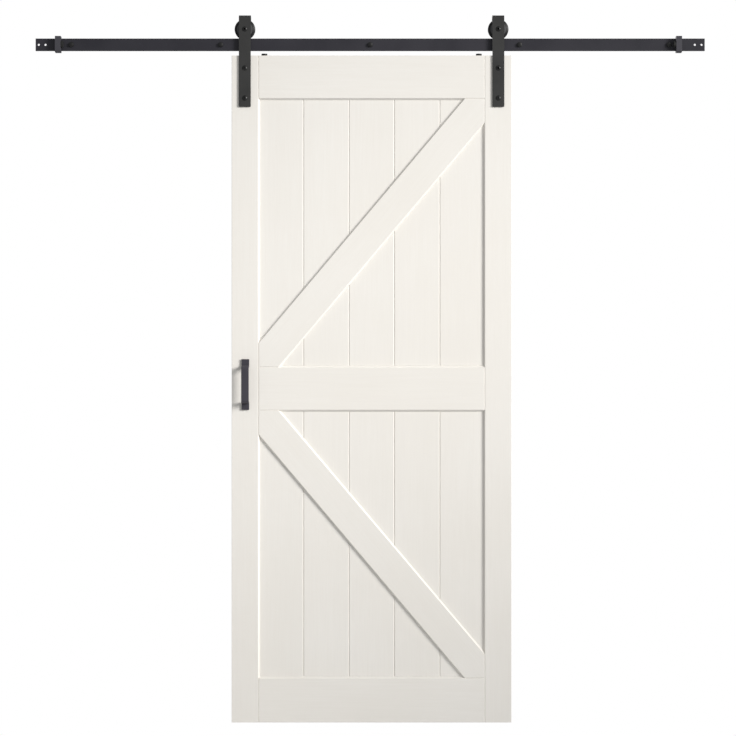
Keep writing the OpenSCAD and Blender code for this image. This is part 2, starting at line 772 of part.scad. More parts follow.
module wheel(i) {
    half = wheel_w / 2;
    low = rail_t / 2 + groove_side_gap;
    high = low + groove_flare;
    seat = bearing_r + fit;
    clip = [bearing_w / 2, bearing_w / 2 + clip_t + joint_gap];
    color([0.2, 0.2, 0.21]) at_axle(i) turned_y([
        [shoulder_r, -half], [wheel_face_r, -half], [wheel_r, -high - flange_tip], [wheel_r, -high],
        [tread_r, -low], [tread_r, low],
        [wheel_r, high], [wheel_r, high + flange_tip], [wheel_face_r, half], [seat, half],
        [seat, clip[1]], [clip_out_r + joint_gap, clip[1]], [clip_out_r + joint_gap, clip[0]],
        [seat, clip[0]], [seat, -bearing_w / 2], [shoulder_r, -bearing_w / 2]
    ]);
}

// the round track that the balls run in, cut into both rings
module raceway() {
    rotate([-90, 0, 0]) rotate_extrude($fn = 96)
        translate([ball_pitch_r, 0]) circle(r = ball_r + ball_gap);
}

module bearing_inner_ring(i) {
    color([0.75, 0.76, 0.78]) at_axle(i) difference() {
        bar_y(inner_land_r, bearing_w, -bearing_w / 2);
        bar_y(axle_r + fit, bearing_w + 2 * over, -bearing_w / 2 - over);
        raceway();
    }
}

module bearing_outer_ring(i) {
    color([0.75, 0.76, 0.78]) at_axle(i) difference() {
        bar_y(bearing_r, bearing_w, -bearing_w / 2);
        bar_y(outer_land_r, bearing_w + 2 * over, -bearing_w / 2 - over);
        raceway();
    }
}

module bearing_shields(i) {
    color([0.6, 0.61, 0.63]) at_axle(i) for (y = [-bearing_w / 2 + shield_t, bearing_w / 2 - 2 * shield_t])
        difference() {
            bar_y(outer_land_r - fit, shield_t, y);
            bar_y(inner_land_r + shield_gap, shield_t + 2 * over, y - over);
        }
}

module at_balls() {
    for (n = [1:balls]) rotate([0, n * 360 / balls, 0]) translate([0, 0, ball_pitch_r]) children();
}

module bearing_balls(i) {
    color([0.85, 0.86, 0.88]) at_axle(i) at_balls() sphere(r = ball_r);
}

// a ring with a round pocket for each ball
module ball_cage(i) {
    half = ball_r + cage_edge;
    color([0.65, 0.5, 0.25]) at_axle(i) difference() {
        bar_y(ball_pitch_r + cage_wall, 2 * half, -half);
        bar_y(ball_pitch_r - cage_wall, 2 * half + 2 * over, -half - over);
        at_balls() cylinder(r = ball_r + ball_gap, h = 2 * (cage_wall + over), center = true);
    }
}

// a spring ring with a gap, in the groove behind the bearing
module retaining_ring(i) {
    y = bearing_w / 2 + joint_gap / 2;
    color([0.35, 0.35, 0.36]) at_axle(i) difference() {
        bar_y(clip_out_r, clip_t, y);
        bar_y(clip_out_r - clip_w, clip_t + 2 * over, y - over);
        block([-clip_open / 2, y - over, 0], [clip_open / 2, y + clip_t + over, clip_out_r + over]);
    }
}

// ---- the anti-jump disks ----

// a countersunk wood screw whose head is flush with the disk's top
module disk_screw(extra) {
    top = door_top + disk_t;
    translate([0, 0, top - disk_screw_l - extra]) cylinder(r = disk_screw_r + extra, h = disk_screw_l + extra);
    translate([0, 0, top - disk_screw_r])
        cylinder(r1 = disk_screw_r + extra, r2 = 2 * disk_screw_r + extra, h = disk_screw_r);
}

function disk_x(i) = door_shift + (i == 0 ? -1 : 1) * (hanger_x - disk_inboard);

module anti_jump_disk(i) {
    color([0.1, 0.1, 0.1]) translate([disk_x(i), rail_y, 0]) difference() {
        translate([0, 0, door_top]) cylinder(r = disk_r, h = disk_t);
        disk_screw(joint_gap);
    }
}

module disk_screws() {
    color([0.2, 0.2, 0.2]) for (i = [0, 1]) translate([disk_x(i), rail_y, 0]) difference() {
        disk_screw(0);
        translate([0, 0, door_top + disk_t - small_socket_d])
            cylinder(r = disk_screw_r * 0.7, h = small_socket_d + over, $fn = 6);
    }
}

// ---- the pull handle ----

// half of the handle above its middle: a foot on the door, two bends, and half of the grip
module half_handle() {
    half = handle_l / 2;
    outer = handle_bend_r + handle_t;
    foot_front = door_front - handle_t;
    grip_front = door_front - handle_out;
    leg_top = half - handle_foot;
    foot_bend = [0, foot_front - handle_bend_r, leg_top + handle_bend_r];
    grip_bend = [0, grip_front + outer, leg_top - outer];
    block([-handle_w / 2, foot_front, foot_bend[2]], [handle_w / 2, door_front, half]);
    translate(foot_bend) strip_bend(handle_w, handle_t, handle_bend_r, 1, -1);
    block([-handle_w / 2, grip_bend[1], leg_top - handle_t], [handle_w / 2, foot_bend[1], leg_top]);
    translate(grip_bend) strip_bend(handle_w, handle_t, handle_bend_r, -1, 1);
    block([-handle_w / 2, grip_front, -over], [handle_w / 2, grip_front + handle_t, grip_bend[2]]);
}

module pull_handle() {
    color([0.26, 0.26, 0.28]) difference() {
        translate([handle_x, 0, door_top - handle_drop]) union() {
            half_handle();
            mirror([0, 0, 1]) half_handle();
        }
        at_handle_screws() handle_screw(joint_gap);
    }
}

module handle_screws() {
    color([0.2, 0.2, 0.2]) at_handle_screws() difference() {
        union() handle_screw(0);
        hex_y(handle_screw_r * 1.4, small_socket_d + over, door_back - small_socket_d);
    }
}

// ---- what is drawn ----

track_rail();
lag_bolts();
lag_washers();
stop_set_screws();
for (i = [1:wall_bolts]) spacer(i);
for (i = [0, 1]) stop(i);
for (i = [0, 1]) bumper(i);

left_stile();
right_stile();
top_rail();
middle_rail();
bottom_rail();
frame_dowels();
for (i = [1:boards]) board(i, upper_z);
for (i = [1:boards]) board(i, lower_z);
brace(upper_z, 1);  // upper_brace
brace(lower_z, -1);  // lower_brace

hanger_bolts();
hanger_barrel_nuts();
axle_nuts();
axle_sleeves();
for (i = [0, 1]) hanger(i);
for (i = [0, 1]) axle_bolt(i);
for (i = [0, 1]) wheel(i);
for (i = [0, 1]) bearing_inner_ring(i);
for (i = [0, 1]) bearing_outer_ring(i);
for (i = [0, 1]) bearing_shields(i);
for (i = [0, 1]) bearing_balls(i);
for (i = [0, 1]) ball_cage(i);
for (i = [0, 1]) retaining_ring(i);

for (i = [0, 1]) anti_jump_disk(i);
disk_screws();
pull_handle();
handle_screws();
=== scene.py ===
# %% [markdown]
# # A sliding barn door on its rail
#
# A barn door hangs from two straps. Each strap is folded over a grooved wheel, and the wheels roll
# on the top edge of a flat steel rail, which spacers hold off the wall. The metal and the timber
# were drawn in CAD at their real size, so this script leaves every size alone. It gives the edges
# their rounding, cuts the threads, and paints each piece.
#
# Everything is in metres: +X runs to the right along the rail, +Y into the wall, and +Z up.

# %% Load the CAD frame
import json
from math import asin, cos, pi, radians, sin, sqrt, tan

import bmesh
import bpy
from mathutils import Matrix, Vector

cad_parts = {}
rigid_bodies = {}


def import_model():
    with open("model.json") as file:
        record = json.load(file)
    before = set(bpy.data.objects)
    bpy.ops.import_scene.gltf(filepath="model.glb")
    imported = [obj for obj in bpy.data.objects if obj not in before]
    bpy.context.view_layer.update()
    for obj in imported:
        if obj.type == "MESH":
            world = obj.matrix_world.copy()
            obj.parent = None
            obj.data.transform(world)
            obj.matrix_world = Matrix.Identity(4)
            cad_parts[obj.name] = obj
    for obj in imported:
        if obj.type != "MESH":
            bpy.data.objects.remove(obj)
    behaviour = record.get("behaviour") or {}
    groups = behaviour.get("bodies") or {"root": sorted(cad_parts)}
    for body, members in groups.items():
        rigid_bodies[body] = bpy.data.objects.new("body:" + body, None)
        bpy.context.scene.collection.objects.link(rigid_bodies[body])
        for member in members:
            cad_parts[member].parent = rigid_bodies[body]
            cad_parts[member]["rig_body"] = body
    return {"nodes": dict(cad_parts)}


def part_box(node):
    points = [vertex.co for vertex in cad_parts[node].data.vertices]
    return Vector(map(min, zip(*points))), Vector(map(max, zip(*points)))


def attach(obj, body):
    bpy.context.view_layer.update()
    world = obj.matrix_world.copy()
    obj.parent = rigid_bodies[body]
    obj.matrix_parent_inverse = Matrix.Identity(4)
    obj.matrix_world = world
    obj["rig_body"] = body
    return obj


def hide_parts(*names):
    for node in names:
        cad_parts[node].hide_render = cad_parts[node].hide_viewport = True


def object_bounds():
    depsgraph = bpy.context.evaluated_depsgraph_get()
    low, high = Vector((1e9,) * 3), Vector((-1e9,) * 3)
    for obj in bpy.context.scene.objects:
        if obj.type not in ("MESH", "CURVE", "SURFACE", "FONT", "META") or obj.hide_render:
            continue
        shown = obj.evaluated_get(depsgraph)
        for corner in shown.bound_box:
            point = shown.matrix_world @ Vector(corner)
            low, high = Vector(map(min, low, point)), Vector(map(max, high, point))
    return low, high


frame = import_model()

MM = 0.001
CAD_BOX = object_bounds()
LOW, HIGH = Vector(CAD_BOX[0]), Vector(CAD_BOX[1])
SIDES = ("left", "right")
print("nodes:", len(frame["nodes"]), "box:", LOW, HIGH)

# %% [markdown]
# ## The camera
#
# A door is an upright rectangle, and a low or tilted camera would make its sides lean. So the
# camera looks straight at it, level, from far away with a long lens, as a catalogue shows doors.
# Its distance and its view width give the focal length.

# %% Place the camera
VIEW_WIDTH = 1.0988 * (HIGH.x - LOW.x)
VIEW_DISTANCE = 9.0
VIEW_SHIFT = Vector((-6.9, 0, 2.8)) * MM
VIEW_MIDDLE = (LOW + HIGH) / 2 + VIEW_SHIFT

camera_data = bpy.data.cameras.new("camera")
camera_data.sensor_width = 36
camera_data.lens = camera_data.sensor_width * VIEW_DISTANCE / VIEW_WIDTH
camera = bpy.data.objects.new("camera", camera_data)
camera.location = (VIEW_MIDDLE.x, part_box("left_stile")[0].y - VIEW_DISTANCE, VIEW_MIDDLE.z)
camera.rotation_euler = (radians(90), 0, 0)
bpy.context.scene.collection.objects.link(camera)
bpy.context.scene.camera = camera
print("lens:", round(camera_data.lens, 1), "mm")

# %% [markdown]
# ## Light for a white door on white
#
# White paint shows its shape only by shade. One broad softbox stands well to the right, so the
# bevels that face left or down are darker than the boards and those that face right or up are
# brighter. It is three metres wide, which keeps the shadows of the straps and the pull soft. A
# grid in front of it narrows its beam, and it is turned towards the far side of the door, so the
# slab is lit evenly across and fades a little towards the floor. A second softbox behind the door
# shows the bearings and the boards' plain backs, and reaches nothing that faces the front. The
# world is white where the camera sees it, and dimmer where it lights the door, so that the two can
# be balanced.

# %% The softboxes
def softbox(name, place, target, size, watts, beam, colour):
    data = bpy.data.lights.new(name, "AREA")
    data.shape = "SQUARE"
    data.size = size
    data.energy = watts
    data.spread = beam
    data.color = colour
    lamp = bpy.data.objects.new(name, data)
    lamp.location = place
    lamp.rotation_euler = (Vector(target) - Vector(place)).to_track_quat("-Z", "Y").to_euler()
    bpy.context.scene.collection.objects.link(lamp)


softbox(
    "key", place=(5.2, -4.0, 1.2), target=(-0.38, 0, -0.86), size=3.0, watts=39,
    beam=radians(36), colour=(1.0, 0.99, 0.975),
)
softbox(
    "back", place=(-3.0, 5.0, 2.0), target=(0, 0, -1.4), size=3.0, watts=150,
    beam=radians(120), colour=(1.0, 1.0, 1.0),
)
print("softboxes:", [lamp.name for lamp in bpy.data.lights])

# %% [markdown]
# ## The world
#
# A catalogue door stands before pure white. If that white also lit the door at its full strength,
# it would drown the softbox. So the world holds two backgrounds, and a test for camera rays picks
# the white one where the camera looks and the dimmer, slightly cool one everywhere else.

# %% The world, white behind the door and dimmer as a light
WORLD_LIGHT = 0.42
WORLD_TINT = (0.97, 0.985, 1, 1)
OTHER_RAYS, CAMERA_RAYS = 1, 2  # the two shader inputs of a Mix Shader node

world = bpy.data.worlds.new("studio")
world.use_nodes = True
bpy.context.scene.world = world
world_nodes = world.node_tree.nodes
world_links = world.node_tree.links
world_nodes.clear()
seen = world_nodes.new("ShaderNodeBackground")
seen.inputs["Color"].default_value = (1, 1, 1, 1)
lighting = world_nodes.new("ShaderNodeBackground")
lighting.inputs["Color"].default_value = WORLD_TINT
lighting.inputs["Strength"].default_value = WORLD_LIGHT
ray = world_nodes.new("ShaderNodeLightPath")
choose = world_nodes.new("ShaderNodeMixShader")
world_out = world_nodes.new("ShaderNodeOutputWorld")
world_links.new(ray.outputs["Is Camera Ray"], choose.inputs["Fac"])
world_links.new(lighting.outputs["Background"], choose.inputs[OTHER_RAYS])
world_links.new(seen.outputs["Background"], choose.inputs[CAMERA_RAYS])
world_links.new(choose.outputs["Shader"], world_out.inputs["Surface"])
bpy.context.scene.view_settings.view_transform = "Standard"
print("world light:", WORLD_LIGHT)

# %% [markdown]
# ## Materials from a few shared steps
#
# Paint, powder coat and bare steel differ in colour, in how evenly they shine and in how rough
# they feel. Each of those is one pattern on the piece's own coordinates. So a small class keeps
# the node tree and the Principled shader, and each finish is a short function that adds to it.

# %% A finish, and the steps that finishes share
MIX_FACTOR, MIX_A, MIX_B, MIX_RESULT = 0, 6, 7, 2  # a Mix node's sockets when it mixes colours


class Finish:
    def __init__(self, name, shine=0.5, metallic=0.0):
        self.material = bpy.data.materials.new(name)
        self.material.use_nodes = True
        self.nodes = self.material.node_tree.nodes
        self.links = self.material.node_tree.links
        self.shader = self.nodes["Principled BSDF"]
        self.shader.inputs["Metallic"].default_value = metallic
        self.shader.inputs["Specular IOR Level"].default_value = shine
        self.coordinates = self.nodes.new("ShaderNodeTexCoord")
        self.height = None

    def placed(self, scale=(1, 1, 1), turn=(0, 0, 0), shift=(0, 0, 0)):
        """Object coordinates, shifted, turned and stretched."""
        shifted = self.nodes.new("ShaderNodeMapping")
        shifted.inputs["Location"].default_value = shift
        shifted.inputs["Rotation"].default_value = turn
        self.links.new(self.coordinates.outputs["Object"], shifted.inputs["Vector"])
        stretched = self.nodes.new("ShaderNodeMapping")
        stretched.inputs["Scale"].default_value = scale
        self.links.new(shifted.outputs["Vector"], stretched.inputs["Vector"])
        return stretched.outputs["Vector"]

    def noise(self, where, scale, detail=3.0, roughness=0.5):
        noise = self.nodes.new("ShaderNodeTexNoise")
        noise.inputs["Scale"].default_value = scale
        noise.inputs["Detail"].default_value = detail
        noise.inputs["Roughness"].default_value = roughness
        self.links.new(where, noise.inputs["Vector"])
        return noise.outputs["Fac"]

    def blend(self, pattern, dark, light, low=0.3, high=0.7):
        """A colour that runs from dark to light as the pattern goes from low to high."""
        ramp = self.nodes.new("ShaderNodeValToRGB")
        ramp.color_ramp.elements[0].position = low
        ramp.color_ramp.elements[0].color = (*dark, 1)
        ramp.color_ramp.elements[1].position = high
        ramp.color_ramp.elements[1].color = (*light, 1)
        self.links.new(pattern, ramp.inputs["Fac"])
        return ramp.outputs["Color"]

    def tinted(self, colour, pattern, tint, amount, low=0.35, high=0.75):
        """The colour, taken towards a tint as the pattern goes from low to high, by the amount."""
        limit = self.nodes.new("ShaderNodeMapRange")
        limit.inputs["From Min"].default_value = low
        limit.inputs["From Max"].default_value = high
        limit.inputs["To Max"].default_value = amount
        self.links.new(pattern, limit.inputs["Value"])
        mix = self.nodes.new("ShaderNodeMix")
        mix.data_type = "RGBA"
        mix.inputs[MIX_B].default_value = (*tint, 1)
        self.links.new(limit.outputs["Result"], mix.inputs[MIX_FACTOR])
        self.links.new(colour, mix.inputs[MIX_A])
        return mix.outputs[MIX_RESULT]

    def colour(self, colour):
        self.links.new(colour, self.shader.inputs["Base Color"])

    def sheen_range(self, pattern, low, high):
        """Roughness that runs from low to high with the pattern."""
        span = self.nodes.new("ShaderNodeMapRange")
        span.inputs["From Min"].default_value = 0.3
        span.inputs["From Max"].default_value = 0.7
        span.inputs["To Min"].default_value = low
        span.inputs["To Max"].default_value = high
        self.links.new(pattern, span.inputs["Value"])
        self.links.new(span.outputs["Result"], self.shader.inputs["Roughness"])

    def relief(self, pattern, depth, strength=1.0):
        """A bump of the given depth in metres, on top of any bump that was added before."""
        bump = self.nodes.new("ShaderNodeBump")
        bump.inputs["Distance"].default_value = depth
        bump.inputs["Strength"].default_value = strength
        self.links.new(pattern, bump.inputs["Height"])
        if self.height is not None:
            self.links.new(self.height, bump.inputs["Normal"])
        self.height = bump.outputs["Normal"]
        self.links.new(self.height, self.shader.inputs["Normal"])


# %% [markdown]
# ## Satin paint on wood
#
# The slab is sprayed with a warm white satin paint. Under the paint the grain of each board still
# stands a little proud, so a stretched noise gives fine ridges that follow the board: upright on
# the stiles and boards, level on the rails, and slanted on the braces. A second, even noise is the
# stipple that a spray gun leaves. The colour drifts by a few hundredths, as on any painted door.

# %% Paint with the grain in a given direction
PAINT = (0.845, 0.812, 0.757)
PAINT_DEEP = (0.802, 0.765, 0.705)
PAINT_LIT = (0.868, 0.840, 0.792)


def satin_paint(name, turn, seed):
    finish = Finish(name, shine=0.4)
    along = finish.placed(scale=(1, 1, 0.035), turn=turn, shift=(seed, 0, seed))
    even = finish.placed()
    grain = finish.noise(along, 210, detail=5, roughness=0.6)
    growth = finish.noise(along, 34, detail=2)
    drift = finish.noise(even, 2.2, detail=2)
    stipple = finish.noise(even, 620, detail=2)
    paint = finish.blend(drift, PAINT, PAINT_LIT)
    finish.colour(finish.tinted(paint, grain, PAINT_DEEP, 0.35))
    finish.sheen_range(growth, 0.42, 0.54)
    finish.relief(grain, 0.10 * MM, 0.55)
    finish.relief(growth, 0.18 * MM, 0.35)
    finish.relief(stipple, 0.03 * MM, 0.35)
    return finish.material


# %% [markdown]
# ## One paint for each way the grain runs
#
# A brace lies along the diagonal of its own box, so the box gives the angle of its grain. The
# upright members get three copies of the paint, each with its pattern shifted, so that boards
# side by side don't show the same grain.

# %% The six paints
brace_low, brace_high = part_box("upper_brace")
brace = brace_high - brace_low
SLANT_ANGLE = asin(brace.x / sqrt(brace.x ** 2 + brace.z ** 2))

PAINTS = {
    "upright": satin_paint("paint_upright", (0, 0, 0), 0.0),
    "upright_2": satin_paint("paint_upright_2", (0, 0, 0), 3.1),
    "upright_3": satin_paint("paint_upright_3", (0, 0, 0), 7.7),
    "level": satin_paint("paint_level", (0, radians(90), 0), 1.7),
    "rising": satin_paint("paint_rising", (0, -SLANT_ANGLE, 0), 4.3),
    "falling": satin_paint("paint_falling", (0, SLANT_ANGLE, 0), 5.9),
}
print("paints:", list(PAINTS))

# %% [markdown]
# ## Powder coat
#
# The rail, the straps, the stops and the pull are steel with a black powder coat. The powder melts
# into a skin with a fine, even orange peel. A noise at about a millimetre makes that skin, and a
# much larger one lets the shine wander, so that a long flat rail doesn't look like a drawn bar.

# %% Powder coat in a given black
def powder_coat(name, dark, light, shine=0.42, low=0.46, high=0.60):
    finish = Finish(name, shine=shine)
    even = finish.placed()
    cloud = finish.noise(even, 9, detail=3)
    peel = finish.noise(even, 850, detail=2)
    finish.colour(finish.tinted(finish.blend(cloud, dark, light), peel, dark, 0.5))
    finish.sheen_range(cloud, low, high)
    finish.relief(peel, 0.05 * MM, 0.5)
    return finish.material


RAIL_BLACK = powder_coat("rail_black", (0.018, 0.0170, 0.024), (0.026, 0.0245, 0.033))
STRAP_BLACK = powder_coat("strap_black", (0.024, 0.0238, 0.0232), (0.035, 0.0346, 0.0338))
PULL_BLACK = powder_coat("pull_black", (0.040, 0.037, 0.048), (0.054, 0.050, 0.064))
STOP_GREY = powder_coat("stop_grey", (0.050, 0.048, 0.058), (0.064, 0.062, 0.073))

# %% [markdown]
# ## Turned and blackened steel
#
# The wheels are turned on a lathe and then blackened. The tool leaves fine rings round the axle, so
# this finish measures the distance from the axle and runs a fast wave over it. The same distance
# paints light and shade into the colour: a lighter, lit-looking grey on the flat hub and a painted
# shade of deep black on the sloping flange. Each wheel has its own copy, centred on its own axle.

# %% Blackened steel, and lathe rings round an axle
def blackened(name, dark, light, shine=0.45, low=0.34, high=0.5):
    finish = Finish(name, shine=shine)
    even = finish.placed()
    cloud = finish.noise(even, 40, detail=3)
    finish.colour(finish.blend(cloud, dark, light))
    finish.sheen_range(cloud, low, high)
    finish.relief(finish.noise(even, 1400, detail=1), 0.015 * MM, 0.5)
    return finish


def lathe_rings(finish, axle, pitch, depth):
    """Rings round a line along Y through the axle point; returns the distance from that line."""
    centred = finish.placed(scale=(1, 0, 1), shift=(-axle.x, 0, -axle.z))
    radius = finish.nodes.new("ShaderNodeVectorMath")
    radius.operation = "LENGTH"
    finish.links.new(centred, radius.inputs[0])
    turns = finish.nodes.new("ShaderNodeMath")
    turns.operation = "MULTIPLY"
    turns.inputs[1].default_value = 2 * pi / pitch
    finish.links.new(radius.outputs["Value"], turns.inputs[0])
    wave = finish.nodes.new("ShaderNodeMath")
    wave.operation = "SINE"
    finish.links.new(turns.outputs["Value"], wave.inputs[0])
    finish.relief(wave.outputs["Value"], depth, 0.6)
    return radius.outputs["Value"]


def middle(node):
    low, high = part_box(node)
    return (low + high) / 2


# %% Painted light on each wheel's hub, painted shade on its flange, and plain black for the bolts
AXLES = {side: middle(f"{side}_wheel") for side in SIDES}
HUB_EDGE = 24.5 * MM
HUB_FADE = 0.8 * MM
# The hub's grey is painted light, far paler than blackened steel, as if the flat face were lit; the
# flange's black is painted shade on the sloping flange.
HUB_PAINTED_LIT_LOW, HUB_PAINTED_LIT_HIGH = (0.070, 0.070, 0.072), (0.095, 0.095, 0.098)
FLANGE_PAINTED_SHADE = (0.0045, 0.0045, 0.005)
WHEEL_PAINTED_LIGHT_AND_SHADE = {}
for side in SIDES:
    wheel_finish = blackened(f"wheel_painted_light_and_shade_{side}", HUB_PAINTED_LIT_LOW, HUB_PAINTED_LIT_HIGH, shine=0.22)
    distance = lathe_rings(wheel_finish, AXLES[side], pitch=0.7 * MM, depth=0.02 * MM)
    hub = wheel_finish.shader.inputs["Base Color"].links[0].from_socket
    # Past the hub's edge the colour turns to the painted shade of the flange.
    wheel_finish.colour(wheel_finish.tinted(
        hub, distance, FLANGE_PAINTED_SHADE, amount=0.95, low=HUB_EDGE, high=HUB_EDGE + HUB_FADE,
    ))
    WHEEL_PAINTED_LIGHT_AND_SHADE[side] = wheel_finish.material
BOLT_BLACK = blackened("bolt_black", (0.004, 0.004, 0.004), (0.009, 0.009, 0.009)).material
print("axles:", AXLES["left"], AXLES["right"])

# %% [markdown]
# ## Rubber, nylon, bearing steel, brass and beech
#
# The small pieces have one finish each. Rubber is matt and slightly greyed by its own bloom, nylon
# is a little smoother, bearing steel and the brass cages are ground to a fine straight lay, and the
# dowels are bare beech with short dark flecks along the grain.

# %% The small pieces' finishes
def moulded(name, dark, light, sheen, peel):
    finish = Finish(name, shine=0.35)
    even = finish.placed()
    bloom = finish.noise(even, 120, detail=3)
    finish.colour(finish.blend(bloom, dark, light))
    finish.sheen_range(bloom, *sheen)
    finish.relief(finish.noise(even, 1800, detail=1), peel, 0.6)
    return finish.material


def ground_metal(name, dark, light, sheen):
    finish = Finish(name, metallic=1.0)
    lay = finish.placed(scale=(1, 0.05, 1))
    scratch = finish.noise(lay, 1500, detail=2)
    finish.colour(finish.blend(scratch, dark, light))
    finish.sheen_range(scratch, *sheen)
    finish.relief(scratch, 0.006 * MM, 0.6)
    return finish.material


def bare_wood(name, dark, light):
    finish = Finish(name, shine=0.3)
    along = finish.placed(scale=(0.06, 1, 1))
    fleck = finish.noise(along, 900, detail=3)
    finish.colour(finish.blend(fleck, dark, light))
    finish.sheen_range(fleck, 0.6, 0.75)
    finish.relief(fleck, 0.05 * MM, 0.6)
    return finish.material


RUBBER = moulded(
    "rubber", (0.010, 0.010, 0.010), (0.020, 0.020, 0.019), sheen=(0.62, 0.8), peel=0.05 * MM,
)
NYLON = moulded(
    "nylon", (0.004, 0.004, 0.004), (0.008, 0.008, 0.008), sheen=(0.42, 0.55), peel=0.02 * MM,
)
BEARING_STEEL = ground_metal(
    "bearing_steel", (0.50, 0.51, 0.53), (0.68, 0.69, 0.71), sheen=(0.2, 0.34),
)
BRASS = ground_metal("brass", (0.52, 0.36, 0.13), (0.68, 0.50, 0.22), sheen=(0.28, 0.4))
BEECH = bare_wood("beech", (0.48, 0.31, 0.17), (0.66, 0.46, 0.28))
print("small finishes:", [m.name for m in (RUBBER, NYLON, BEARING_STEEL, BRASS, BEECH)])

# %% [markdown]
# ## Easing the edges of a CAD piece
#
# Paint and powder coat can't hold a knife edge: each edge is eased by some tenths of a millimetre,
# and that thin rounded line is what catches the light. The CAD meshes are loose triangles, so the
# copy is merged first, then its flat faces are joined up, and only then are its sharp edges
# bevelled. Weighted normals keep the flat faces flat, so only the narrow rounds catch the light.
# The copy rides on the same body and stands in for its node.

# %% Which edges are sharp, and rounding them
SAME_POINT = 0.002 * MM
SAME_PLANE = radians(0.5)
ROUND_OVER = radians(35)
SMOOTH_UNDER = radians(38)


def between_two(edge):
    return len(edge.link_faces) == 2


def bevelled(bm, width, segments):
    """Rounds every edge that turns by more than ROUND_OVER."""
    sharp = [e for e in bm.edges if between_two(e) and e.calc_face_angle(0) > ROUND_OVER]
    bmesh.ops.bevel(
        bm, geom=sharp, offset=width, offset_type="OFFSET", affect="EDGES",
        segments=segments, profile=0.5, material=-1, clamp_overlap=True,
    )


def mark_smooth(bm):
    """Smooth shading, broken at every edge that turns by SMOOTH_UNDER or more."""
    for face in bm.faces:
        face.smooth = True
    for edge in bm.edges:
        edge.smooth = between_two(edge) and edge.calc_face_angle(0) < SMOOTH_UNDER


# %% [markdown]
# ## From a bmesh to a finished piece
#
# Every piece ends the same way: doubles merged, faces turned outwards, flat and round parts told
# apart, then a mesh, a material and a body. Recalculated normals agree with one another,
# but a whole shell of them may still point inwards. So each shell's volume is measured as well,
# and a negative one means that it is inside out. The measure has a limit: where a bridge is
# twisted, one part of a shell can be turned in while the whole still measures positive.

# %% Faces outwards, and the last steps of a piece

def shells(bm):
    """The bmesh's faces in groups that hang together."""
    left = set(bm.faces)
    for seed in bm.faces:
        if seed not in left:
            continue
        left.discard(seed)
        shell, growing = [], [seed]
        while growing:
            face = growing.pop()
            shell.append(face)
            near = {other for edge in face.edges for other in edge.link_faces} & left
            left -= near
            growing += near
        yield shell


def face_outwards(bm):
    """Normals that agree within a shell, and shells with a positive volume."""
    bmesh.ops.recalc_face_normals(bm, faces=bm.faces)
    for shell in list(shells(bm)):
        volume = sum(f.normal.dot(f.calc_center_median()) * f.calc_area() for f in shell) / 3
        if volume < 0:
            bmesh.ops.reverse_faces(bm, faces=shell)


def finished(name, bm, body, material):
    """The bmesh as a piece on its body, with its doubles merged and its shells turned out."""
    bmesh.ops.remove_doubles(bm, verts=bm.verts, dist=SAME_POINT)
    face_outwards(bm)
    mark_smooth(bm)
    mesh = bpy.data.meshes.new(name)
    bm.to_mesh(mesh)
    bm.free()
    mesh.materials.append(material)
    piece = bpy.data.objects.new(name, mesh)
    bpy.context.scene.collection.objects.link(piece)
    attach(piece, body)
    return piece


# %% Eased copies of CAD nodes
def eased(node, width, material, segments=2):
    """A copy of the node with rounded edges, on the node's body and in its place."""
    bm = bmesh.new()
    bm.from_mesh(frame["nodes"][node].data)
    bmesh.ops.remove_doubles(bm, verts=bm.verts, dist=SAME_POINT)
    bmesh.ops.dissolve_limit(bm, angle_limit=SAME_PLANE, verts=bm.verts, edges=bm.edges)
    bevelled(bm, width, segments)
    piece = finished(f"{node}_eased", bm, frame["nodes"][node]["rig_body"], material)
    level = piece.modifiers.new("level_normals", "WEIGHTED_NORMAL")
    level.keep_sharp = True
    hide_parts(node)


# %% [markdown]
# ## The painted slab
#
# The stiles, rails, boards and braces keep their CAD shape: bevels along the frame's inner edges,
# coped rail ends, and a small V along every joint. A wooden edge under paint is eased by about a
# third of a millimetre. Each member takes the paint whose grain follows its own length.

# %% Frame, boards and braces
EDGE_OF_WOOD = 0.3 * MM
MEMBERS = {
    "left_stile": "upright", "right_stile": "upright_2", "top_rail": "level",
    "middle_rail": "level", "bottom_rail": "level", "upper_brace": "rising",
    "lower_brace": "falling",
}
UPRIGHTS = ("upright", "upright_2", "upright_3")
for row in ("upper", "lower"):
    for number in range(1, 6):
        MEMBERS[f"{row}_board_{number}"] = UPRIGHTS[(number - 1) % len(UPRIGHTS)]
for node, paint in MEMBERS.items():
    eased(node, EDGE_OF_WOOD, PAINTS[paint])
print("painted members:", len(MEMBERS))

# %% [markdown]
# ## The black steel
#
# The rail, the straps, the stops and the pull are cut or bent from bar. Their edges are tumbled
# before coating. That rounds a thick piece more than a thin one, so each gets its own width.

# %% Rail, straps, stops and pull
RAIL_EDGE, SPACER_EDGE = 0.25 * MM, 0.15 * MM
STRAP_EDGE, STOP_EDGE, PULL_EDGE = 0.7 * MM, 0.6 * MM, 0.9 * MM
WALL_BOLTS = range(1, 6)

eased("track_rail", RAIL_EDGE, RAIL_BLACK)
for side in SIDES:
    eased(f"{side}_hanger", STRAP_EDGE, STRAP_BLACK, segments=3)
    eased(f"{side}_stop", STOP_EDGE, STOP_GREY, segments=3)
eased("pull_handle", PULL_EDGE, PULL_BLACK, segments=3)
for number in WALL_BOLTS:
    eased(f"spacer_{number}", SPACER_EDGE, RAIL_BLACK)
print("steel pieces eased, with", len(WALL_BOLTS), "spacers")

# %% [markdown]
# ## Turning a profile about an axis along Y
#
# Wheels, domes, bumpers and thread all come from one lathe move: a few points of a profile, given
# as radius and distance along Y, are joined into a line and spun about the axis. A full spin is
# merged where it closes.

